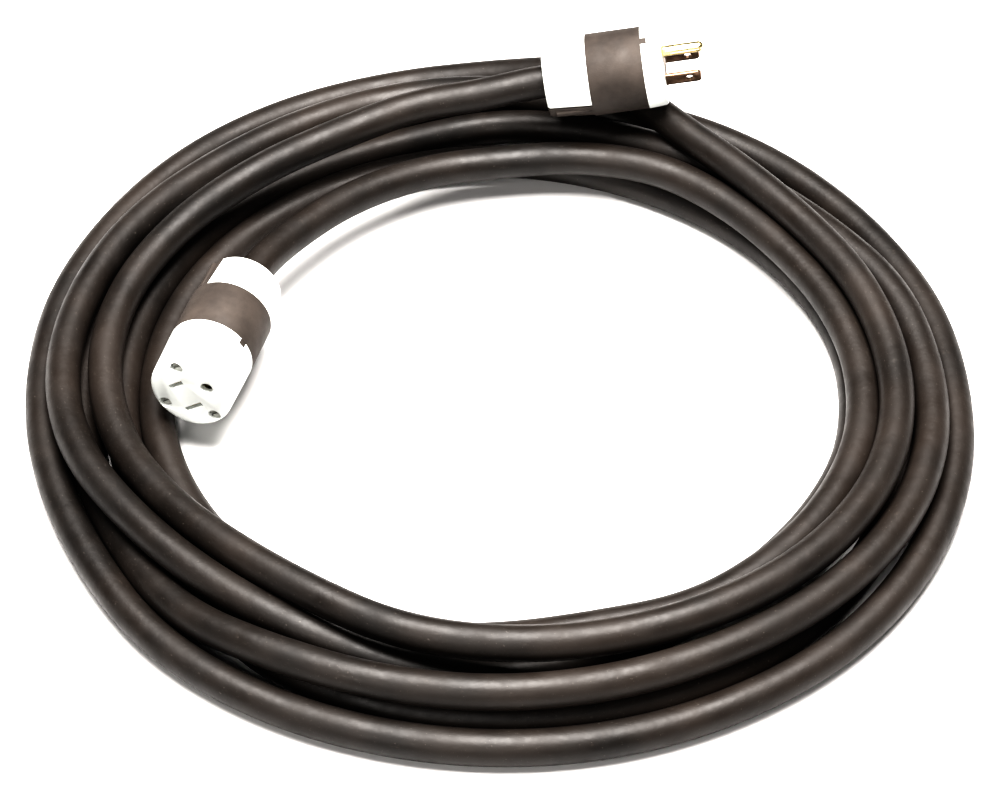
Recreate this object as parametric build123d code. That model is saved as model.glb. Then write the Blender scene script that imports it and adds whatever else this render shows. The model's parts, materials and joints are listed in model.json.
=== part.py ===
from build123d import *
from math import cos, pi, radians, sin, tan
import os

# Heavy shore power cord: a three-wire rubber cable lying in a loose coil of six turns, with a
# straight-blade plug on one end and a matching connector body on the other.
# Frame: origin under the middle of the coil, on the surface that it lies on, +Z up.
# Each wiring device is modelled lying along +X: its cable enters at X = 0, its face looks along +X
# and its ground pole is on the +Z side. It is then laid on the coil with place_plug / place_connector.

# ---------------------------------------------------------------- driving dimensions, mm
CABLE_D = 14.8            # rubber jacket, outside
CORE_D = 3.6              # insulated conductor
COPPER_D = 2.05           # bare conductor, 12 AWG
CORE_RING_R = 3.0         # conductors stand on this radius in the cable

COIL_HEIGHT = 36.0        # two to three layers of cable
COIL_STEP = 30            # degrees between the radii below, counter-clockwise from +X
COIL_OUTER = (201, 193, 188, 198, 205, 203, 201, 198, 200, 199, 201, 204)
COIL_INNER = (138, 137, 130, 122, 134, 138, 138, 136, 135, 134, 137, 135)

BODY_D = 36.6             # largest diameter of plug and connector
REAR_D = 32.5             # at the cable end
REAR_L = 20.0             # cord-grip section
BAND_L = 24.5             # housing band
PLUG_FACE_L = 8.6
CONN_FACE_L = 26.5
EDGE_R = 1.6              # rounded edge of cable end and plug face
CONN_EDGE_R = 3.0         # rounded edge of the connector face
WALL = 3.4                # housing wall round the wiring chamber
BULKHEAD = 2.5            # wall between cord grip and wiring chamber
SPIGOT_L = 4.0            # face piece inside the housing
CARRIER_T = 4.5           # plate that holds the terminals
FIT = 0.2                 # between moulded pieces
GRIP_GAP = 0.8            # left open between the halves of the cord grip
GRIP_STEP = 0.4           # cord grip stands back from the band
FACE_DRAFT = 0.6          # radius lost towards the front

POLE_PITCH = 12.7         # between the flat poles
GROUND_PITCH = 11.9       # ground pole from the line of the flat poles
GROUND_OUT = 9.3          # ground pole from the body's axis
BLADE_W = 6.35
BLADE_T = 1.5
BLADE_L = 15.9            # out of the plug face
BLADE_HOLE_D = 3.2
BLADE_HOLE_X = 10.6       # hole from the plug face
PIN_D = 4.8
PIN_NECK_D = 4.2          # its shank, held in the face piece
PIN_NECK_OUT = 0.4        # shank that shows in front of the face
PIN_L = 18.7              # out of the plug face
SLOT_T = 2.0
HOT_SLOT_W = 7.1
NEUTRAL_SLOT_W = 8.9
GROUND_BORE_D = 5.4
CONTACT_T = 0.9           # spring leaf
CONTACT_L = 20.0
FACE_WALL = 3.0           # connector face in front of the contacts

TAB_T = 1.5               # terminal tab
TAB_W = 7.0
TERM_SCREW_D = 3.8
TERM_HEAD_D = 6.2
TERM_HEAD_T = 2.5
SCREW_TIP = 1.0           # out of the tab's far side
WIRE_PLATE_T = 1.2
WIRE_PLATE_W = 9.0
WIRE_PLATE_OVER = 1.2     # plate past the tab on the wire's side
WIRE_GAP = 0.3            # wire beside the screw
LEAD_FLAT = 1.9           # insulation lying straight before the terminal
LEAD_GAP = 0.4            # its end short of the tab
WIRE_SHORT = 0.6          # bare end short of the tab's far end

JOIN_SCREW_D = 3.5        # hold face piece to housing
JOIN_HEAD_D = 5.4
JOIN_HEAD_T = 2.4
JOIN_BOSS_D = 6.4
JOIN_THREAD_L = 6.0       # in the housing boss
JOIN_END_GAP = 0.5        # under the screw's tip
JOIN_SINK = 2.0           # head below the face
JOIN_PLACES = ((13.6, 3.1), (-13.6, 3.1), (0, -13.5))   # Y, Z of the three screws

GRIP_SCREW_D = 3.5        # clamp the two halves of the cord grip
GRIP_HEAD_D = 6.4
GRIP_HEAD_T = 2.4
GRIP_HEAD_OUT = 5.5       # top of the head from the grip's parting plane, in the housing half
GRIP_THREAD_L = 6.5       # in the cover
GRIP_END_GAP = 0.5        # under the screw's tip
GRIP_SCREW_SIDE = 11.4    # from the axis

DRIVE_SLOT_W = 1.0        # screwdriver slots
DRIVE_SLOT_L = 1.0        # their depth
KEY_W = 3.2               # key of the housing in the edge of the face piece
KEY_L = 2.6
KEY_T = 1.6
TIP_CHAMFER = 1.2         # corners of the blades
CONTACT_BASE = 1.5        # web that joins the two leaves
SLEEVE_SOLID = 4.0        # ground sleeve behind its slit
CUT = 1.0                 # cutting tools reach this far past the surface

PLUG_REAR = (20.5, 149.0, 50.4)
PLUG_TURN = (1, 9.5, 9)           # heading, rise, roll about its axis, degrees
CONN_REAR = (-109.0, 40.2, 30.0)
CONN_TURN = (-106, 3, -55)

# route of the cable from each device to the coil, in this frame, hand-chosen points
PLUG_ROUTE = ((-23, 143, 45), (-51, 136, 40), (-79, 124, 34))
CONN_ROUTE = ((-92, 74, 26), (-66, 102, 23), (-33, 122, 20))

# ---------------------------------------------------------------- worked out from them
BODY_R = BODY_D / 2
REAR_R = REAR_D / 2
BAND_END = REAR_L + BAND_L
CHAMBER_R = BODY_R - WALL
CHAMBER_X = REAR_L + BULKHEAD
JACKET_END = CHAMBER_X + 1.0
TAB_X = JACKET_END + 6.0          # leads turn out to the terminals in between
CARRIER_X = BAND_END - SPIGOT_L - CARRIER_T
TAB_END = CARRIER_X
SCREW_X = (TAB_X + TAB_END) / 2
POLE_Y = POLE_PITCH / 2
POLE_Z = GROUND_OUT - GROUND_PITCH
WIRE_OFF = TERM_SCREW_D / 2 + COPPER_D / 2 + WIRE_GAP
TAB_FACE = POLE_Y + TAB_T / 2
WIRE_Y = TAB_FACE + COPPER_D / 2


def turned(outline):
    """Solid of revolution about X from (x, r) corners that start and end on the axis."""
    face = make_face(Polyline(*outline, close=True))
    return revolve(face, Axis.X, 360)


def rod(start, end, diameter):
    """Round bar between two points."""
    run = Vector(*end) - Vector(*start)
    plane = Plane(origin=start, z_dir=run.normalized())
    return plane.location * extrude(Circle(diameter / 2), run.length)


def bent_wire(points, diameter):
    """Stiff wire: straight bars with round corners."""
    wire = rod(points[0], points[1], diameter)
    for start, end in zip(points[1:], points[2:]):
        wire = wire + Pos(*start) * Sphere(diameter / 2) + rod(start, end, diameter)
    return wire


def block(x0, x1, y0, y1, z0, z1):
    return Pos((x0 + x1) / 2, (y0 + y1) / 2, (z0 + z1) / 2) * Box(x1 - x0, abs(y1 - y0), abs(z1 - z0))


def bar_x(x0, x1, y, z, diameter):
    return rod((x0, y, z), (x1, y, z), diameter)


# ---------------------------------------------------------------- cord grip and housing
def grip_section():
    """Tapered rear section with its rounded end and the cable's bore."""
    blank = turned(((0, 0), (0, REAR_R), (REAR_L, BODY_R - GRIP_STEP), (REAR_L, 0)))
    blank = fillet(blank.edges().filter_by(GeomType.CIRCLE).sort_by(Axis.X)[0], EDGE_R)
    return blank - bar_x(-CUT, REAR_L + CUT, 0, 0, CABLE_D)


def half_space(side):
    """Everything on the +Z (side 1) or -Z (side -1) side of the grip's parting plane."""
    reach = BODY_D
    near = side * GRIP_GAP / 2
    return block(-CUT, REAR_L + CUT, -reach, reach, min(near, side * reach), max(near, side * reach))


def grip_screw_places():
    return [(REAR_L / 2, side * GRIP_SCREW_SIDE) for side in (1, -1)]


def grip_screw_cuts():
    """Threaded holes in the cover, clearance and head recesses in the housing half."""
    cuts = []
    for x, y in grip_screw_places():
        cuts.append(rod((x, y, -GRIP_HEAD_OUT), (x, y, GRIP_THREAD_L + GRIP_END_GAP), GRIP_SCREW_D))
        cuts.append(rod((x, y, -BODY_R), (x, y, GRIP_HEAD_T - GRIP_HEAD_OUT), GRIP_HEAD_D + FIT))
    return cuts


def grip_screws():
    screws = []
    for x, y in grip_screw_places():
        under_head = GRIP_HEAD_T - GRIP_HEAD_OUT
        screw = rod((x, y, -GRIP_HEAD_OUT), (x, y, under_head), GRIP_HEAD_D)
        screw = screw + rod((x, y, under_head), (x, y, GRIP_THREAD_L), GRIP_SCREW_D)
        slot = Pos(x, y, -GRIP_HEAD_OUT) * Box(DRIVE_SLOT_W, 2 * GRIP_HEAD_D, 2 * DRIVE_SLOT_L)
        screws.append(screw - slot)
    return Compound(children=screws)


def grip_cover():
    cover = grip_section() & half_space(1)
    for cut in grip_screw_cuts():
        cover = cover - cut
    return cover & block(-CUT, REAR_L - FIT, -BODY_D, BODY_D, 0, BODY_D)


def housing():
    """Band round the wiring chamber, with the fixed half of the cord grip behind it."""
    shell = turned(((REAR_L, 0), (REAR_L, BODY_R), (BAND_END, BODY_R), (BAND_END, 0)))
    shell = shell - bar_x(CHAMBER_X, BAND_END + CUT, 0, 0, 2 * CHAMBER_R)
    shell = shell - bar_x(REAR_L - CUT, CHAMBER_X + CUT, 0, 0, CABLE_D)
    shell = shell + (grip_section() & half_space(-1))
    for y, z in JOIN_PLACES:
        boss = bar_x(CARRIER_X, BAND_END, y, z, JOIN_BOSS_D)
        shell = shell + (boss & bar_x(CARRIER_X, BAND_END, 0, 0, BODY_D - WALL))
    for y, z in JOIN_PLACES:
        shell = shell - bar_x(BAND_END - JOIN_THREAD_L, BAND_END + CUT, y, z, JOIN_SCREW_D)
    for cut in grip_screw_cuts():
        shell = shell - cut
    return shell + key(0, -FIT)


def key(clearance, top):
    """Key of the housing, or with a clearance its notch in the face piece."""
    half = KEY_W / 2 + clearance
    return block(BAND_END, BAND_END + KEY_L + clearance, -half, half, BODY_R - KEY_T - clearance, BODY_R + top)


def clear_bosses(piece):
    for y, z in JOIN_PLACES:
        piece = piece - bar_x(CARRIER_X - CUT, BAND_END, y, z, JOIN_BOSS_D + 2 * FIT)
    return piece


# ---------------------------------------------------------------- terminals, the same in both
def flat_tab(side):
    """Tab of a flat pole inside the chamber, tapped for its screw."""
    y = side * POLE_Y
    tab = block(TAB_X, TAB_END, y - TAB_T / 2, y + TAB_T / 2, POLE_Z - TAB_W / 2, POLE_Z + TAB_W / 2)
    return tab - rod((SCREW_X, y - TAB_T, POLE_Z), (SCREW_X, y + TAB_T, POLE_Z), TERM_SCREW_D)


def ground_tab():
    tab = block(TAB_X, TAB_END, -TAB_W / 2, TAB_W / 2, GROUND_OUT - TAB_T / 2, GROUND_OUT + TAB_T / 2)
    return tab - rod((SCREW_X, 0, GROUND_OUT - TAB_T), (SCREW_X, 0, GROUND_OUT + TAB_T), TERM_SCREW_D)


def carrier():
    """Insulating plate with a slot for each tab."""
    plate = bar_x(CARRIER_X, CARRIER_X + CARRIER_T, 0, 0, 2 * (CHAMBER_R - FIT))
    plate = clear_bosses(plate)
    x0, x1 = CARRIER_X - CUT, CARRIER_X + CARRIER_T + CUT
    for side in (1, -1):
        y = side * POLE_Y
        half = BLADE_W / 2
        plate = plate - block(x0, x1, y - TAB_T / 2, y + TAB_T / 2, POLE_Z - half, POLE_Z + half)
    return plate - bar_x(x0, x1, 0, GROUND_OUT, PIN_NECK_D)


def screw_stack(base, out, head_slot):
    """Terminal screw: base is the tab's outer face at the screw, out the direction of the head."""
    out = Vector(*out)
    base = Vector(*base)
    under = base + out * (COPPER_D + WIRE_PLATE_T)
    tip = base - out * (TAB_T + SCREW_TIP)
    screw = rod(tip, under, TERM_SCREW_D) + rod(under, under + out * TERM_HEAD_T, TERM_HEAD_D)
    top = under + out * TERM_HEAD_T
    return screw - Pos(*top) * head_slot


def flat_screw(side):
    slot = Box(DRIVE_SLOT_W, 2 * DRIVE_SLOT_L, 2 * TERM_HEAD_D)
    return screw_stack((SCREW_X, side * TAB_FACE, POLE_Z), (0, side, 0), slot)


def ground_screw():
    slot = Box(DRIVE_SLOT_W, 2 * TERM_HEAD_D, 2 * DRIVE_SLOT_L)
    return screw_stack((SCREW_X, 0, GROUND_OUT - TAB_T / 2), (0, 0, -1), slot)


def wire_plates():
    """The three pressure plates between screw heads and wires."""
    x0, x1 = TAB_X + FIT, TAB_END - FIT
    hole = TERM_SCREW_D + FIT
    plates = []
    for side in (1, -1):
        y0 = side * (TAB_FACE + COPPER_D)
        y1 = y0 + side * WIRE_PLATE_T
        z0 = POLE_Z + TAB_W / 2 + WIRE_PLATE_OVER - WIRE_PLATE_W
        plate = block(x0, x1, min(y0, y1), max(y0, y1), z0, z0 + WIRE_PLATE_W)
        plates.append(plate - rod((SCREW_X, y0 - side, POLE_Z), (SCREW_X, y1 + side, POLE_Z), hole))
    z1 = GROUND_OUT - TAB_T / 2 - COPPER_D
    plate = block(x0, x1, -TAB_W / 2, TAB_W / 2 + WIRE_PLATE_OVER, z1 - WIRE_PLATE_T, z1)
    plates.append(plate - rod((SCREW_X, 0, z1 - WIRE_PLATE_T - CUT), (SCREW_X, 0, z1 + CUT), hole))
    return Compound(children=plates)


def pole_ends():
    """For each pole: where its core leaves the jacket, and where its wire lies at the terminal."""
    ends = {}
    for name, side in (("left", 1), ("right", -1)):
        core = (side * CORE_RING_R * cos(radians(30)), -CORE_RING_R / 2)
        ends[name] = (core, (side * WIRE_Y, POLE_Z + WIRE_OFF))
    ends["ground"] = ((0, CORE_RING_R), (WIRE_OFF, GROUND_OUT - TAB_T / 2 - COPPER_D / 2))
    return ends


def lead(core, wire):
    """Insulated core from the jacket's end to just short of its terminal."""
    end = TAB_X - LEAD_GAP
    points = ((JACKET_END, *core), (JACKET_END + 0.6 * CORE_D, *core), (end - LEAD_FLAT, *wire), (end, *wire))
    return bent_wire(points, CORE_D)


def bare_ends():
    ends = []
    for core, wire in pole_ends().values():
        ends.append(bar_x(TAB_X - LEAD_GAP, TAB_END - WIRE_SHORT, *wire, COPPER_D))
    return Compound(children=ends)


def join_screws(face_x):
    head_top = face_x - JOIN_SINK
    screws = []
    for y, z in JOIN_PLACES:
        head = bar_x(head_top - JOIN_HEAD_T, head_top, y, z, JOIN_HEAD_D)
        shank = bar_x(BAND_END - JOIN_THREAD_L + JOIN_END_GAP, head_top - JOIN_HEAD_T, y, z, JOIN_SCREW_D)
        slot = Pos(head_top, y, z) * Box(2 * DRIVE_SLOT_L, DRIVE_SLOT_W, 2 * JOIN_HEAD_D)
        screws.append(head + shank - slot)
    return Compound(children=screws)


def face_blank(length, edge_r):
    """Front piece with its spigot, before its openings."""
    end = BAND_END + length
    blank = turned(((BAND_END, 0), (BAND_END, BODY_R), (end, BODY_R - FACE_DRAFT), (end, 0)))
    blank = fillet(blank.edges().filter_by(GeomType.CIRCLE).sort_by(Axis.X)[-1], edge_r)
    spigot = clear_bosses(bar_x(BAND_END - SPIGOT_L, BAND_END, 0, 0, 2 * (CHAMBER_R - FIT)))
    blank = blank + spigot
    for y, z in JOIN_PLACES:
        blank = blank - bar_x(BAND_END - CUT, end + CUT, y, z, JOIN_SCREW_D)
        blank = blank - bar_x(end - JOIN_SINK - JOIN_HEAD_T, end + CUT, y, z, JOIN_HEAD_D + FIT)
    return blank - key(FIT / 2, CUT)


# ---------------------------------------------------------------- plug
def plug_face():
    face = face_blank(PLUG_FACE_L, EDGE_R)
    x0, x1 = BAND_END - SPIGOT_L - CUT, BAND_END + PLUG_FACE_L + CUT
    for side in (1, -1):
        y = side * POLE_Y
        half = BLADE_W / 2
        face = face - block(x0, x1, y - BLADE_T / 2, y + BLADE_T / 2, POLE_Z - half, POLE_Z + half)
    return face - bar_x(x0, x1, 0, GROUND_OUT, PIN_NECK_D)


def plug_blade(side):
    """Flat blade with its hole and tapered tip, one piece with its terminal tab."""
    y = side * POLE_Y
    face_x = BAND_END + PLUG_FACE_L
    tip = face_x + BLADE_L
    blade = block(TAB_END, tip, y - BLADE_T / 2, y + BLADE_T / 2, POLE_Z - BLADE_W / 2, POLE_Z + BLADE_W / 2)
    tip_edges = blade.edges().filter_by(Axis.Z).sort_by(Axis.X)[-2:]
    blade = chamfer(tip_edges, BLADE_T * 0.3)
    corners = blade.edges().filter_by(Axis.Y).sort_by(Axis.X)[-2:]
    blade = chamfer(corners, TIP_CHAMFER)
    hole_x = face_x + BLADE_HOLE_X
    blade = blade - rod((hole_x, y - BLADE_T, POLE_Z), (hole_x, y + BLADE_T, POLE_Z), BLADE_HOLE_D)
    return blade + flat_tab(side)


def plug_ground_pin():
    neck_end = BAND_END + PLUG_FACE_L + PIN_NECK_OUT
    tip = BAND_END + PLUG_FACE_L + PIN_L
    pin = bar_x(TAB_END, neck_end, 0, GROUND_OUT, PIN_NECK_D)
    pin = pin + bar_x(neck_end, tip - PIN_D / 2, 0, GROUND_OUT, PIN_D)
    pin = pin + Pos(tip - PIN_D / 2, 0, GROUND_OUT) * Sphere(PIN_D / 2)
    return pin + ground_tab()


# ---------------------------------------------------------------- connector
def conn_face():
    face = face_blank(CONN_FACE_L, CONN_EDGE_R)
    end = BAND_END + CONN_FACE_L
    x0 = BAND_END - SPIGOT_L - CUT
    pocket_end = end - FACE_WALL
    for side, slot_w in ((-1, HOT_SLOT_W), (1, NEUTRAL_SLOT_W)):
        y = side * POLE_Y
        half = BLADE_T / 2 + CONTACT_T + FIT
        tall = slot_w / 2 + FIT
        face = face - block(x0, pocket_end, y - half, y + half, POLE_Z - tall, POLE_Z + tall)
        slot = Pos((pocket_end + end) / 2, y, POLE_Z) * Box(2 * FACE_WALL, SLOT_T, slot_w)
        face = face - slot
    sleeve_d = GROUND_BORE_D + 2 * CONTACT_T + 2 * FIT
    face = face - bar_x(x0, pocket_end, 0, GROUND_OUT, sleeve_d)
    return face - bar_x(x0, end + CUT, 0, GROUND_OUT, GROUND_BORE_D)


def conn_contact(side, slot_w):
    """Two spring leaves folded from one strip, with the terminal tab."""
    y = side * POLE_Y
    half = BLADE_T / 2 + CONTACT_T
    x1 = BAND_END + CONN_FACE_L - FACE_WALL - FIT
    x0 = x1 - CONTACT_L
    leaves = block(x0 - CONTACT_BASE, x1, y - half, y + half, POLE_Z - slot_w / 2, POLE_Z + slot_w / 2)
    leaves = leaves - block(x0, x1 + CUT, y - BLADE_T / 2, y + BLADE_T / 2, POLE_Z - slot_w, POLE_Z + slot_w)
    neck = block(TAB_END, x0, y - TAB_T / 2, y + TAB_T / 2, POLE_Z - BLADE_W / 2, POLE_Z + BLADE_W / 2)
    return leaves + neck + flat_tab(side)


def conn_ground_contact():
    """Slit sleeve for the ground pin, with its tab."""
    x1 = BAND_END + CONN_FACE_L - FACE_WALL - FIT
    x0 = x1 - CONTACT_L
    sleeve = bar_x(x0 - CONTACT_BASE, x1, 0, GROUND_OUT, GROUND_BORE_D + 2 * CONTACT_T)
    sleeve = sleeve - bar_x(x0, x1 + CUT, 0, GROUND_OUT, GROUND_BORE_D)
    half = CONTACT_T / 2
    slit = block(x0 + SLEEVE_SOLID, x1 + CUT, -half, half, GROUND_OUT - GROUND_BORE_D, GROUND_OUT)
    sleeve = sleeve - slit
    neck = bar_x(TAB_END, x0, 0, GROUND_OUT, PIN_NECK_D)
    return sleeve + neck + ground_tab()


# ---------------------------------------------------------------- laying the devices on the coil
def laid(rear, turn):
    heading, rise, roll = turn
    return Pos(*rear) * Rot(0, 0, heading) * Rot(0, -rise, 0) * Rot(roll, 0, 0)


place_plug = laid(PLUG_REAR, PLUG_TURN)
place_connector = laid(CONN_REAR, CONN_TURN)


def world(place, x):
    """Point on a device's axis, in the part's frame."""
    return (place * Pos(x, 0, 0)).position


# ---------------------------------------------------------------- cable
def tail(name, place, route):
    """Cable from inside a device, out of its grip and along the route, as runs and tangent arcs."""
    inside = world(place, JACKET_END)
    leaving = world(place, -CABLE_D)
    points = [inside, leaving] + [Vector(*p) for p in route]
    radii = []
    for before, corner, after in zip(points, points[1:], points[2:]):
        run_in = corner - before
        run_out = after - corner
        half_turn = radians(run_in.get_angle(run_out)) / 2
        radii.append(0.45 * min(run_in.length, run_out.length) / tan(half_turn))
    path = FilletPolyline(*points, radius=radii)
    section = Plane(origin=path @ 0, z_dir=path % 0) * Circle(CABLE_D / 2)
    tube = sweep(section, path)
    print(name, "radii", [round(r) for r in radii], "length", round(path.length, 1),
          "volume ratio", round(tube.volume / (path.length * pi * CABLE_D ** 2 / 4), 4))
    return tube


def ring_outline(radii):
    points = []
    for i, radius in enumerate(radii):
        angle = radians(i * COIL_STEP)
        points.append((radius * cos(angle), radius * sin(angle)))
    return make_face(Spline(*points, periodic=True))


def coil():
    """Outer shape of the coil, with the hollows that plug and connector lie in."""
    ring = extrude(ring_outline(COIL_OUTER) - ring_outline(COIL_INNER), COIL_HEIGHT)
    level = ring.faces().filter_by(Axis.Z)
    ring = fillet(level.edges(), CABLE_D / 2)
    hollow_r = BODY_R + FIT
    plug_space = bar_x(-2 * CUT, BAND_END + PLUG_FACE_L + PIN_L + 2 * CUT, 0, 0, 2 * hollow_r)
    conn_space = bar_x(-2 * CUT, BAND_END + CONN_FACE_L + 2 * CUT, 0, 0, 2 * hollow_r)
    return ring - place_plug * plug_space - place_connector * conn_space


# ---------------------------------------------------------------- nodes
nodes = {"cord_coil": coil(),
         "cord_plug_end": tail("cord_plug_end", place_plug, PLUG_ROUTE),
         "cord_connector_end": tail("cord_connector_end", place_connector, CONN_ROUTE)}

ends = pole_ends()
for device, place, length in (("plug", place_plug, PLUG_FACE_L), ("connector", place_connector, CONN_FACE_L)):
    # the two devices face each other, so their flat poles change sides
    hot = "left" if device == "plug" else "right"
    neutral = "right" if device == "plug" else "left"
    side = {"left": 1, "right": -1}
    pieces = {"housing": housing(), "grip_cover": grip_cover(), "grip_screws": grip_screws(),
              "carrier": carrier(), "wire_plates": wire_plates(), "bare_wire_ends": bare_ends(),
              "face_screws": join_screws(BAND_END + length),
              "hot_terminal_screw": flat_screw(side[hot]),
              "neutral_terminal_screw": flat_screw(side[neutral]),
              "ground_terminal_screw": ground_screw(),
              "hot_lead": lead(*ends[hot]), "neutral_lead": lead(*ends[neutral]),
              "ground_lead": lead(*ends["ground"])}
    if device == "plug":
        pieces["face"] = plug_face()
        pieces["hot_blade"] = plug_blade(side[hot])
        pieces["neutral_blade"] = plug_blade(side[neutral])
        pieces["ground_pin"] = plug_ground_pin()
    else:
        pieces["face"] = conn_face()
        pieces["hot_contact"] = conn_contact(side[hot], HOT_SLOT_W)
        pieces["neutral_contact"] = conn_contact(side[neutral], NEUTRAL_SLOT_W)
        pieces["ground_contact"] = conn_ground_contact()
    for piece_name, piece in pieces.items():
        nodes[device + "_" + piece_name] = place * piece

os.makedirs("parts", exist_ok=True)
for name, shape in nodes.items():
    export_step(shape, "parts/" + name + ".step")
print(len(nodes), "nodes")
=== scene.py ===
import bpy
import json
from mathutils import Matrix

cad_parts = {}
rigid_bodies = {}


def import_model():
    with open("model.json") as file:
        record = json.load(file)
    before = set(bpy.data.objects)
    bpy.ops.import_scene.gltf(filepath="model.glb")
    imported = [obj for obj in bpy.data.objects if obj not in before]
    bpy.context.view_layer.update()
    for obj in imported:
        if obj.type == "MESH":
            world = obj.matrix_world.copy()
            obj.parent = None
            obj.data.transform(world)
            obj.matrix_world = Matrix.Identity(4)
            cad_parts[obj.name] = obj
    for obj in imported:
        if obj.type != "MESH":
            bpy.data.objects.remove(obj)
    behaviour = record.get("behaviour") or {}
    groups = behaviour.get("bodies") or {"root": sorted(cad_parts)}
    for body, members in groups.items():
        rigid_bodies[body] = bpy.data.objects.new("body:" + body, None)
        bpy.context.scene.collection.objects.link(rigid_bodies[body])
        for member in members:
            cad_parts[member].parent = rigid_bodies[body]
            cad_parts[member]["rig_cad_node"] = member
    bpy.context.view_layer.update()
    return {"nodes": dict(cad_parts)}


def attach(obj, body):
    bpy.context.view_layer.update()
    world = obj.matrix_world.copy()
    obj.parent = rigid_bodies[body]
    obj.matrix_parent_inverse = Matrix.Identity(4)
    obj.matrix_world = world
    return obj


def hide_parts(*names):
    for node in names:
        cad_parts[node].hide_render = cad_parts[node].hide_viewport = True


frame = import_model()

import json
from math import cos, radians, sin
import bpy
from mathutils import Matrix, Vector

# Shore power cord: heavy rubber cable in a loose coil of six turns, with a straight-blade plug on
# one end and a connector body on the other. Metres; mm below turns millimetres into metres.
mm = 0.001

# ---------------------------------------------------------------- sizes and places, mm
CABLE_D = 14.8
FLOOR = 7.4                       # height of a cable's middle when it lies on the floor
SPLINE_OUT = 1.0087               # control points stand this much outside the turn that they make
STEP = 15                         # degrees between the points of a turn

BODY_R = 18.3                     # plug and connector
REAR_L = 20.0                     # cord grip
REAR_R = 16.25                    # at the cable end
PLUG_FACE_X = 53.1
POLE_Y = 6.35
POLE_Z = -2.6

PLUG_REAR = (20.5, 149.0, 50.4)
PLUG_TURN = (1, 9.5, 9)           # heading, rise, roll about its axis, degrees
CONN_REAR = (-109.0, 40.2, 30.0)
CONN_TURN = (-106, 3, -55)

# The six turns, each from the back of the coil counter-clockwise, as (radius, height) of the
# cable's middle every 15 degrees. The first starts from the plug, the last runs to the connector.
TURNS = (
    ((149, 46), (146, 42), (147, 36), (152, 33), (161, 27), (167, 23), (167, 22), (163, 22),
     (156, 24), (151, 28), (151, 30), (156, 30), (159, 31), (162, 32), (165, 32), (168, 31),
     (170, 30), (169, 29), (164, 30), (158, 32), (152, 32), (151, 33), (157, 33), (182, 32)),
    ((192, 15), (199, FLOOR), (200, FLOOR), (200, FLOOR), (198, FLOOR),
     (197, FLOOR), (194, FLOOR), (192, FLOOR),
     (191, FLOOR), (194, FLOOR), (193, FLOOR), (192, FLOOR), (192, FLOOR),
     (193, FLOOR), (194, FLOOR), (196, FLOOR),
     (196, FLOOR), (195, FLOOR), (192, FLOOR), (191, FLOOR), (188, FLOOR),
     (187, FLOOR), (186, FLOOR), (184, FLOOR)),
    ((178, FLOOR), (179, FLOOR), (179, FLOOR), (178, FLOOR), (177, FLOOR),
     (177, FLOOR), (176, FLOOR), (177, FLOOR),
     (176, 8), (181, 14), (179, 22), (177, 22), (177, 23), (177, 23), (178, 23), (181, 22),
     (184, 21), (184, 20), (180, 19), (175, 22), (164, 22), (159, 20), (156, 19), (156, 18)),
    ((162, 12), (159, 8), (159, FLOOR), (160, FLOOR), (161, FLOOR),
     (161, FLOOR), (160, FLOOR), (160, FLOOR),
     (161, FLOOR), (167, FLOOR), (175, FLOOR), (177, FLOOR), (177, FLOOR),
     (178, FLOOR), (179, FLOOR), (179, FLOOR),
     (177, FLOOR), (173, FLOOR), (169, FLOOR), (167, FLOOR), (170, FLOOR),
     (169, FLOOR), (168, FLOOR), (171, 19)),
    ((174, 22), (175, 22), (175, 22), (176, 22), (181, 22), (184, 21), (185, 20), (181, 22),
     (172, 24), (166, 23), (162, 20), (160, 12), (158, FLOOR), (151, FLOOR), (147, FLOOR), (146, FLOOR),
     (148, FLOOR), (151, FLOOR), (151, FLOOR), (150, FLOOR), (147, FLOOR),
     (144, FLOOR), (142, FLOOR), (142, FLOOR)),
    ((143, FLOOR), (143, FLOOR), (144, FLOOR), (145, FLOOR), (146, FLOOR),
     (146, FLOOR), (146, FLOOR), (145, FLOOR),
     (144, FLOOR), (143, FLOOR), (142, FLOOR), (142, 8), (144, 15), (148, 22), (153, 21), (154, 21),
     (155, 21), (155, 21), (152, 21), (147, 22), (142, 22), (141, 22), (141, 22), (135, 21)),
)
FIRST_POINT = 1                   # the plug's own run takes the place of the first turn's start
PLUG_SAG = (-10, 145, 45)         # the cable bends down just behind the plug
CONNECTOR_RUN = ((0, 130, 19), (-33, 123, 20), (-66, 103, 23), (-92, 74, 26))


# ---------------------------------------------------------------- places
def device_place(rear, turn):
    """Matrix that lays a device, modelled along +X from its cable end, on the coil."""
    heading, rise, roll = [radians(angle) for angle in turn]
    place = Matrix.Translation(Vector(rear) * mm)
    place = place @ Matrix.Rotation(heading, 4, "Z")
    place = place @ Matrix.Rotation(-rise, 4, "Y")
    return place @ Matrix.Rotation(roll, 4, "X")


plug_place = device_place(PLUG_REAR, PLUG_TURN)
connector_place = device_place(CONN_REAR, CONN_TURN)


def on_axis(place, x):
    return place @ Vector((x * mm, 0, 0))


# ---------------------------------------------------------------- small helpers
def deselect():
    bpy.ops.object.select_all(action="DESELECT")


def pick(piece):
    deselect()
    piece.select_set(True)
    bpy.context.view_layer.objects.active = piece


def apply_place(piece, place):
    """Moves a piece made in a device's own frame to where the device lies."""
    pick(piece)
    piece.matrix_world = place @ piece.matrix_world
    bpy.ops.object.transform_apply(location=True, rotation=True, scale=True)


def soften_edges(piece, width, segments=2, angle=40):
    pick(piece)
    bevel = piece.modifiers.new("edges", "BEVEL")
    bevel.width = width * mm
    bevel.segments = segments
    bevel.limit_method = "ANGLE"
    bevel.angle_limit = radians(angle)
    bpy.ops.object.modifier_apply(modifier=bevel.name)
    bpy.ops.object.shade_smooth_by_angle(angle=radians(35))


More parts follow.
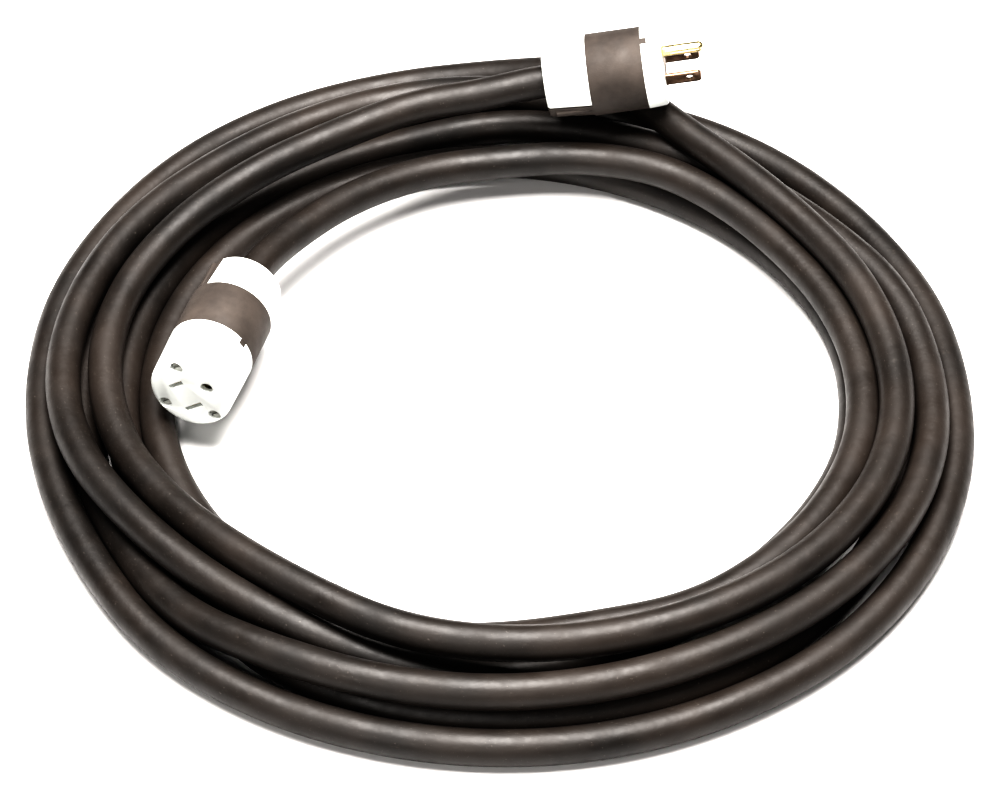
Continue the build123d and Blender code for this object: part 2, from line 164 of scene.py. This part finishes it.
def finish_piece(piece, name, material):
    piece.name = name
    piece.data.name = name
    piece.data.materials.clear()
    piece.data.materials.append(material)
    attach(piece, "root")
    return piece


# ---------------------------------------------------------------- material nodes
def start_material(name):
    material = bpy.data.materials.new(name)
    material.use_nodes = True
    return material, material.node_tree, material.node_tree.nodes["Principled BSDF"]


def place_coordinates(tree):
    return tree.nodes.new("ShaderNodeTexCoord").outputs["Object"]


def stretched(tree, vector, scale):
    mapping = tree.nodes.new("ShaderNodeMapping")
    mapping.inputs["Scale"].default_value = scale
    tree.links.new(vector, mapping.inputs["Vector"])
    return mapping.outputs["Vector"]


def grain(tree, vector, scale, detail=4.0, roughness=0.6):
    noise = tree.nodes.new("ShaderNodeTexNoise")
    noise.inputs["Scale"].default_value = scale
    noise.inputs["Detail"].default_value = detail
    noise.inputs["Roughness"].default_value = roughness
    tree.links.new(vector, noise.inputs["Vector"])
    return noise.outputs["Fac"]


def spread(tree, value, low, high, out_low=0.0, out_high=1.0):
    """Stretches the middle of a grain to a chosen range."""
    ranged = tree.nodes.new("ShaderNodeMapRange")
    ranged.inputs["From Min"].default_value = low
    ranged.inputs["From Max"].default_value = high
    ranged.inputs["To Min"].default_value = out_low
    ranged.inputs["To Max"].default_value = out_high
    tree.links.new(value, ranged.inputs["Value"])
    return ranged.outputs["Result"]


def two_colours(tree, factor, first, second):
    mix = tree.nodes.new("ShaderNodeMix")
    mix.data_type = "RGBA"
    tree.links.new(factor, mix.inputs["Factor"])
    mix.inputs[6].default_value = (*first, 1)
    mix.inputs[7].default_value = (*second, 1)
    return mix.outputs[2]


def laid_over(tree, factor, under, colour):
    """A colour laid over another node's colour by a factor."""
    mix = tree.nodes.new("ShaderNodeMix")
    mix.data_type = "RGBA"
    tree.links.new(factor, mix.inputs["Factor"])
    tree.links.new(under, mix.inputs[6])
    mix.inputs[7].default_value = (*colour, 1)
    return mix.outputs[2]


def add_bump(tree, shader, height, distance, strength=1.0, under=None):
    bump = tree.nodes.new("ShaderNodeBump")
    bump.inputs["Strength"].default_value = strength
    bump.inputs["Distance"].default_value = distance
    tree.links.new(height, bump.inputs["Height"])
    if under is not None:
        tree.links.new(under, bump.inputs["Normal"])
    tree.links.new(bump.outputs["Normal"], shader.inputs["Normal"])
    return bump.outputs["Normal"]


# ---------------------------------------------------------------- materials
def jacket_rubber():
    """Matt black rubber, a little brown where it is handled, with dust and fine scuffs."""
    material, tree, shader = start_material("jacket_rubber")
    place = place_coordinates(tree)
    patches = spread(tree, grain(tree, place, 16, 3), 0.38, 0.66)
    colour = two_colours(tree, patches, (0.0070, 0.0058, 0.0050), (0.0190, 0.0150, 0.0125))
    specks = spread(tree, grain(tree, place, 900, 3, 0.7), 0.66, 0.74)
    colour = laid_over(tree, specks, colour, (0.07, 0.062, 0.055))
    rubbed = grain(tree, stretched(tree, place, (1, 1, 4)), 240, 5, 0.75)
    scuffs = spread(tree, rubbed, 0.60, 0.78, 0.0, 0.5)
    colour = laid_over(tree, scuffs, colour, (0.050, 0.042, 0.036))
    tree.links.new(colour, shader.inputs["Base Color"])
    wear = spread(tree, grain(tree, place, 45, 5, 0.7), 0.3, 0.7, 0.38, 0.62)
    tree.links.new(wear, shader.inputs["Roughness"])
    shader.inputs["Specular IOR Level"].default_value = 0.32
    coarse = add_bump(tree, shader, grain(tree, place, 130, 3), 0.00045, 0.5)
    add_bump(tree, shader, grain(tree, place, 1500, 2), 0.00006, 0.5, coarse)
    return material


def moulded_nylon(name, colour, shade, roughness, texture, texture_depth):
    """Moulded plastic with the fine texture of its tool and a faint unevenness of colour."""
    material, tree, shader = start_material(name)
    place = place_coordinates(tree)
    clouds = spread(tree, grain(tree, place, 55, 4), 0.35, 0.7)
    base = two_colours(tree, clouds, colour, shade)
    smudges = spread(tree, grain(tree, place, 230, 5, 0.7), 0.62, 0.80, 0.0, 0.35)
    base = laid_over(tree, smudges, base, tuple(0.82 * part for part in shade))
    tree.links.new(base, shader.inputs["Base Color"])
    gloss = spread(tree, grain(tree, place, 120, 4), 0.3, 0.7, roughness - 0.06, roughness + 0.08)
    tree.links.new(gloss, shader.inputs["Roughness"])
    shader.inputs["Specular IOR Level"].default_value = 0.45
    sink = add_bump(tree, shader, grain(tree, place, 90, 2), 0.0003, 0.25)
    add_bump(tree, shader, grain(tree, place, texture, 2), texture_depth, 0.6, sink)
    return material


def strip_metal(name, colour, tarnish, roughness, amount=0.5):
    """Rolled or turned metal with drawing lines along it and tarnish in patches."""
    material, tree, shader = start_material(name)
    place = place_coordinates(tree)
    stains = spread(tree, grain(tree, place, 260, 5, 0.7), 0.42, 0.68, 0.0, amount)
    tree.links.new(two_colours(tree, stains, colour, tarnish), shader.inputs["Base Color"])
    lines = grain(tree, stretched(tree, place, (60, 900, 900)), 1, 3)
    gloss = spread(tree, lines, 0.3, 0.7, roughness - 0.08, roughness + 0.12)
    tree.links.new(gloss, shader.inputs["Roughness"])
    shader.inputs["Metallic"].default_value = 1.0
    add_bump(tree, shader, lines, 0.00004, 0.5)
    return material


def core_insulation(name, colour, shade):
    """Smooth insulation of a single wire."""
    return moulded_nylon(name, colour, shade, 0.42, 1400, 0.00002)


rubber = jacket_rubber()
white_nylon = moulded_nylon("white_nylon", (0.70, 0.73, 0.71), (0.66, 0.68, 0.66), 0.36, 1500, 0.00003)
black_nylon = moulded_nylon("black_nylon", (0.022, 0.017, 0.014), (0.046, 0.037, 0.031), 0.72, 1700, 0.00012)
bright_brass = strip_metal("bright_brass", (0.88, 0.77, 0.44), (0.64, 0.50, 0.26), 0.26, 0.35)
# Brass darkened throughout as painted shade, for the flat blades' sides that face down away from the overhead
# light; its tarnish patches are random.
painted_shade_brass = strip_metal("painted_shade_brass", (0.27, 0.19, 0.14), (0.13, 0.09, 0.065), 0.42, 0.9)
nickel = strip_metal("nickel_plate", (0.62, 0.58, 0.50), (0.40, 0.34, 0.25), 0.32, 0.8)
# Nylon coloured grey as painted shade, for the strip of the plug's face between the blades.
painted_shade_nylon = moulded_nylon("painted_shade_nylon", (0.25, 0.22, 0.20), (0.20, 0.175, 0.16), 0.5, 1500, 0.00004)
steel = strip_metal("zinc_steel", (0.42, 0.42, 0.40), (0.22, 0.21, 0.20), 0.36, 0.7)
green_plate = strip_metal("green_dyed_plate", (0.10, 0.36, 0.16), (0.05, 0.20, 0.09), 0.34, 0.6)
copper = strip_metal("bare_copper", (0.80, 0.42, 0.26), (0.50, 0.24, 0.14), 0.34, 0.6)
carrier_plastic = moulded_nylon("carrier_plastic", (0.17, 0.16, 0.15), (0.21, 0.20, 0.19), 0.5, 1500, 0.00005)
black_core = core_insulation("black_core", (0.03, 0.03, 0.03), (0.04, 0.04, 0.04))
white_core = core_insulation("white_core", (0.72, 0.72, 0.70), (0.62, 0.62, 0.60))
green_core = core_insulation("green_core", (0.06, 0.30, 0.12), (0.05, 0.22, 0.10))


# ---------------------------------------------------------------- cable
def turn_points():
    """The coil's turns, worked out from the radii and heights above."""
    points = []
    for number, turn in enumerate(TURNS):
        for place, (radius, height) in enumerate(turn):
            if number == 0 and place < FIRST_POINT:
                continue
            angle = radians(90 + STEP * place)
            out = SPLINE_OUT * radius * mm
            points.append(Vector((out * cos(angle), out * sin(angle), height * mm)))
    return points


def cable_route():
    route = [on_axis(plug_place, 6), on_axis(plug_place, -5), Vector(PLUG_SAG) * mm]
    route += turn_points()
    route += [Vector(point) * mm for point in CONNECTOR_RUN]
    return route + [on_axis(connector_place, -10), on_axis(connector_place, 6)]


def make_cable():
    line = bpy.data.curves.new("cable", "CURVE")
    line.dimensions = "3D"
    route = cable_route()
    spline = line.splines.new("NURBS")
    spline.points.add(len(route) - 1)
    for control, point in zip(spline.points, route):
        control.co = (*point, 1)
    spline.order_u = 3
    spline.use_endpoint_u = True
    spline.resolution_u = 8
    line.bevel_depth = CABLE_D / 2 * mm
    line.bevel_resolution = 7
    line.use_fill_caps = True
    cable = bpy.data.objects.new("cable", line)
    bpy.context.scene.collection.objects.link(cable)
    line.materials.append(rubber)
    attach(cable, "root")
    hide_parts("cord_coil", "cord_plug_end", "cord_connector_end")
    return cable


cable = make_cable()


# ---------------------------------------------------------------- plug and connector
def finished_copy(node_name, width, material):
    """A CAD piece with its edges rounded as a mould or a press leaves them."""
    pick(frame["nodes"][node_name])
    bpy.ops.object.duplicate()
    piece = bpy.context.object
    del piece["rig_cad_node"]
    bpy.ops.object.mode_set(mode="EDIT")
    bpy.ops.mesh.select_all(action="SELECT")
    bpy.ops.mesh.remove_doubles(threshold=0.002 * mm)
    bpy.ops.mesh.dissolve_limited(angle_limit=radians(0.6))
    bpy.ops.object.mode_set(mode="OBJECT")
    soften_edges(piece, width)
    finish_piece(piece, node_name + "_finished", material)
    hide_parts(node_name)
    return piece


def repaint(node_name, material):
    node = frame["nodes"][node_name]
    for material_slot in node.material_slots:
        material_slot.link = "OBJECT"
        material_slot.material = material


INNER = {"carrier": carrier_plastic, "wire_plates": nickel, "bare_wire_ends": copper,
         "hot_terminal_screw": bright_brass, "neutral_terminal_screw": nickel,
         "ground_terminal_screw": green_plate, "hot_lead": black_core, "neutral_lead": white_core,
         "ground_lead": green_core, "face_screws": steel, "grip_screws": steel}
CONTACTS = {"hot_contact": bright_brass, "neutral_contact": bright_brass, "ground_contact": bright_brass}

shown = {"plug": [], "connector": []}
for device in ("plug", "connector"):
    shown[device].append(finished_copy(device + "_housing", 0.35, black_nylon))
    shown[device].append(finished_copy(device + "_grip_cover", 0.5, white_nylon))
    shown[device].append(finished_copy(device + "_face", 0.25, white_nylon))
    for part, material in INNER.items():
        repaint(device + "_" + part, material)
        shown[device].append(frame["nodes"][device + "_" + part])
for part, material in CONTACTS.items():
    repaint("connector_" + part, material)
    shown["connector"].append(frame["nodes"]["connector_" + part])
# The flat blades take the brass darkened as painted shade; the ground pin keeps the plain brass colour.
finished_copy("plug_hot_blade", 0.18, painted_shade_brass)
finished_copy("plug_neutral_blade", 0.18, painted_shade_brass)
finished_copy("plug_ground_pin", 0.12, bright_brass)


# ---------------------------------------------------------------- moulded details
GRIP_RAIL_W = 3.4                 # rail on the black half, beside the parting line
GRIP_RAIL_DEEP = 3.0
GRIP_RAIL_X = (2.6, 19.4)
GRIP_RAIL_SLOPE = 0.9             # the cable end leans in by this much
GRIP_RAIL_OUT = 18.0              # its outer face from the axis
GRIP_RAIL_ANGLE = 13              # from the parting plane, degrees


def grip_rail(device, place, side):
    """Raised rail along the housing's half of the cord grip, tapered at its ends."""
    start, end = GRIP_RAIL_X
    length = end - start
    deselect()
    bpy.ops.mesh.primitive_cube_add(size=1)
    rail = bpy.context.object
    rail.scale = (length * mm, GRIP_RAIL_W * mm, GRIP_RAIL_DEEP * mm)
    rail.location = ((start + end) / 2 * mm, 0, (GRIP_RAIL_OUT - GRIP_RAIL_DEEP / 2) * mm)
    bpy.ops.object.transform_apply(location=True, rotation=False, scale=True)
    for vertex in rail.data.vertices:
        if vertex.co.z > (GRIP_RAIL_OUT - 1) * mm:
            if vertex.co.x < length / 2 * mm:
                vertex.co.x = (start + GRIP_RAIL_SLOPE) * mm
            vertex.co.y *= 0.72
    turn = Matrix.Rotation(side * radians(90 + GRIP_RAIL_ANGLE), 4, "X")
    apply_place(rail, place @ turn)
    soften_edges(rail, 0.5, 3)
    side_name = "left" if side > 0 else "right"
    return finish_piece(rail, f"{device}_grip_rail_{side_name}", black_nylon)


PIP_X = 9.5                       # moulding pip on the white cover
PIP_R = 1.1
PIP_OUT = 0.25
PIP_DEEP = 1.6


def moulding_pip(device, place, angle):
    """Small round mark that the moulding tool's ejector leaves, with a shallow dish."""
    deselect()
    bpy.ops.mesh.primitive_cylinder_add(vertices=32, radius=PIP_R * mm, depth=PIP_DEEP * mm)
    pip = bpy.context.object
    bpy.ops.object.mode_set(mode="EDIT")
    bpy.ops.mesh.select_all(action="DESELECT")
    bpy.ops.object.mode_set(mode="OBJECT")
    for face in pip.data.polygons:
        face.select = face.normal.z > 0.9
    bpy.ops.object.mode_set(mode="EDIT")
    bpy.ops.mesh.select_mode(type="FACE")
    bpy.ops.mesh.inset(thickness=0.3 * mm, depth=0)
    bpy.ops.mesh.inset(thickness=0.25 * mm, depth=-0.15 * mm)
    bpy.ops.object.mode_set(mode="OBJECT")
    surface = REAR_R + (BODY_R - 0.4 - REAR_R) * PIP_X / REAR_L
    pip.location = (PIP_X * mm, 0, (surface - PIP_DEEP / 2 + PIP_OUT) * mm)
    bpy.ops.object.transform_apply(location=True, rotation=False, scale=False)
    apply_place(pip, place @ Matrix.Rotation(radians(angle), 4, "X"))
    soften_edges(pip, 0.08)
    return finish_piece(pip, device + "_moulding_pip", white_nylon)


BRIDGE_H = 0.7                    # rib on the plug's face from blade to blade, coloured grey as painted shade
BRIDGE_W = 3.0


def face_bridge():
    """Low rib between the flat blades' feet, coloured grey as painted shade on the face between them."""
    deselect()
    bpy.ops.mesh.primitive_cube_add(size=1)
    rib = bpy.context.object
    span = 2 * POLE_Y - 1.6
    rib.scale = (2 * BRIDGE_H * mm, span * mm, BRIDGE_W * mm)
    rib.location = (PLUG_FACE_X * mm, 0, POLE_Z * mm)
    bpy.ops.object.transform_apply(location=True, rotation=False, scale=True)
    for vertex in rib.data.vertices:
        if vertex.co.x > PLUG_FACE_X * mm:
            vertex.co.z = POLE_Z * mm + (vertex.co.z - POLE_Z * mm) * 0.7
    apply_place(rib, plug_place)
    soften_edges(rib, 0.2, 3)
    return finish_piece(rib, "plug_face_shade_rib", painted_shade_nylon)


for device, place, angle in (("plug", plug_place, 0), ("connector", connector_place, 38)):
    for side in (1, -1):
        shown[device].append(grip_rail(device, place, side))
    shown[device].append(moulding_pip(device, place, angle))
face_bridge()


# ---------------------------------------------------------------- stage
def pale_floor():
    deselect()
    bpy.ops.mesh.primitive_plane_add(size=9, location=(0, 0, -0.0003))
    floor = bpy.context.object
    floor.name = "floor"
    material, tree, shader = start_material("pale_floor")
    place = place_coordinates(tree)
    tone = two_colours(tree, grain(tree, place, 3, 2), (0.60, 0.60, 0.60), (0.61, 0.61, 0.61))
    tree.links.new(tone, shader.inputs["Base Color"])
    shader.inputs["Roughness"].default_value = 1.0
    shader.inputs["Specular IOR Level"].default_value = 0.0
    floor.data.materials.append(material)


WARM = (1.0, 0.965, 0.935)


def soft_light(name, location, target, size, power):
    deselect()
    bpy.ops.object.light_add(type="AREA", location=location)
    lamp = bpy.context.object
    lamp.name = name
    lamp.data.shape = "SQUARE"
    lamp.data.size = size
    lamp.data.energy = power
    lamp.data.color = WARM
    toward = Vector(target) - Vector(location)
    lamp.rotation_euler = toward.to_track_quat("-Z", "Y").to_euler()


def studio():
    pale_floor()
    soft_light("overhead", (0, 0.05, 1.7), (0, 0, 0), 1.2, 124)
    soft_light("front_fill", (-0.7, -1.9, 1.5), (-0.1, 0, 0.03), 1.2, 26)
    world = bpy.data.worlds.new("studio")
    world.use_nodes = True
    world.node_tree.nodes["Background"].inputs["Color"].default_value = (1, 1, 1, 1)
    world.node_tree.nodes["Background"].inputs["Strength"].default_value = 0.10
    bpy.context.scene.world = world
    bpy.context.scene.view_settings.view_transform = "Standard"
    bpy.context.scene.view_settings.look = "Very High Contrast"


VIEW_DOWN = 46.4                  # degrees
VIEW_AWAY = 1500
VIEW_TARGET = (0, 3.2, 0)
LENS = 126.4


def camera():
    """Looks down at the coil from the front."""
    tilt = radians(VIEW_DOWN)
    target = Vector(VIEW_TARGET) * mm
    look = Vector((0, cos(tilt), -sin(tilt)))
    deselect()
    bpy.ops.object.camera_add(location=target - look * VIEW_AWAY * mm)
    view = bpy.context.object
    view.rotation_euler = look.to_track_quat("-Z", "Y").to_euler()
    view.data.sensor_width = 36
    view.data.lens = LENS
    bpy.context.scene.camera = view


studio()
camera()
